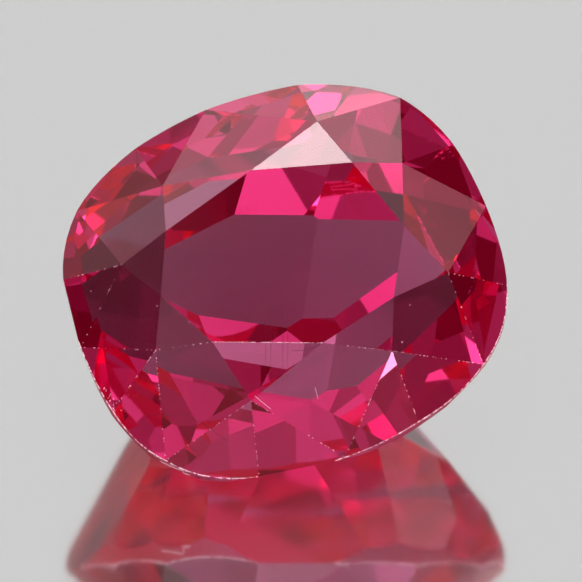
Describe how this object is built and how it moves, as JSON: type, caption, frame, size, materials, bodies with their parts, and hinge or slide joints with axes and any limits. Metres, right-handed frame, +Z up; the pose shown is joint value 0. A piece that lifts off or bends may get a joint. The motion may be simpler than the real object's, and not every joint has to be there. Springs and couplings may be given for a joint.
{
  "type": "cushion-cut ruby gemstone",
  "caption": "Loose cushion-cut ruby with a brilliant crown and a stepped pavilion, lying on one pavilion facet with its table tilted forward.",
  "frame": {"origin": "under the middle of the stone's box, on the plane that the stone rests on", "axes": "+Z up, +X along the stone's length across the view, -Y towards the viewer and the side that the table leans to"},
  "size_m": [0.0066, 0.0052, 0.0047],
  "materials": {
    "ruby": "polished see-through corundum, pinkish red, refractive index about 1.765, ground matt on the girdle"
  },
  "bodies": {
    "root": {"ruby": "ruby"}
  },
  "joints": []
}
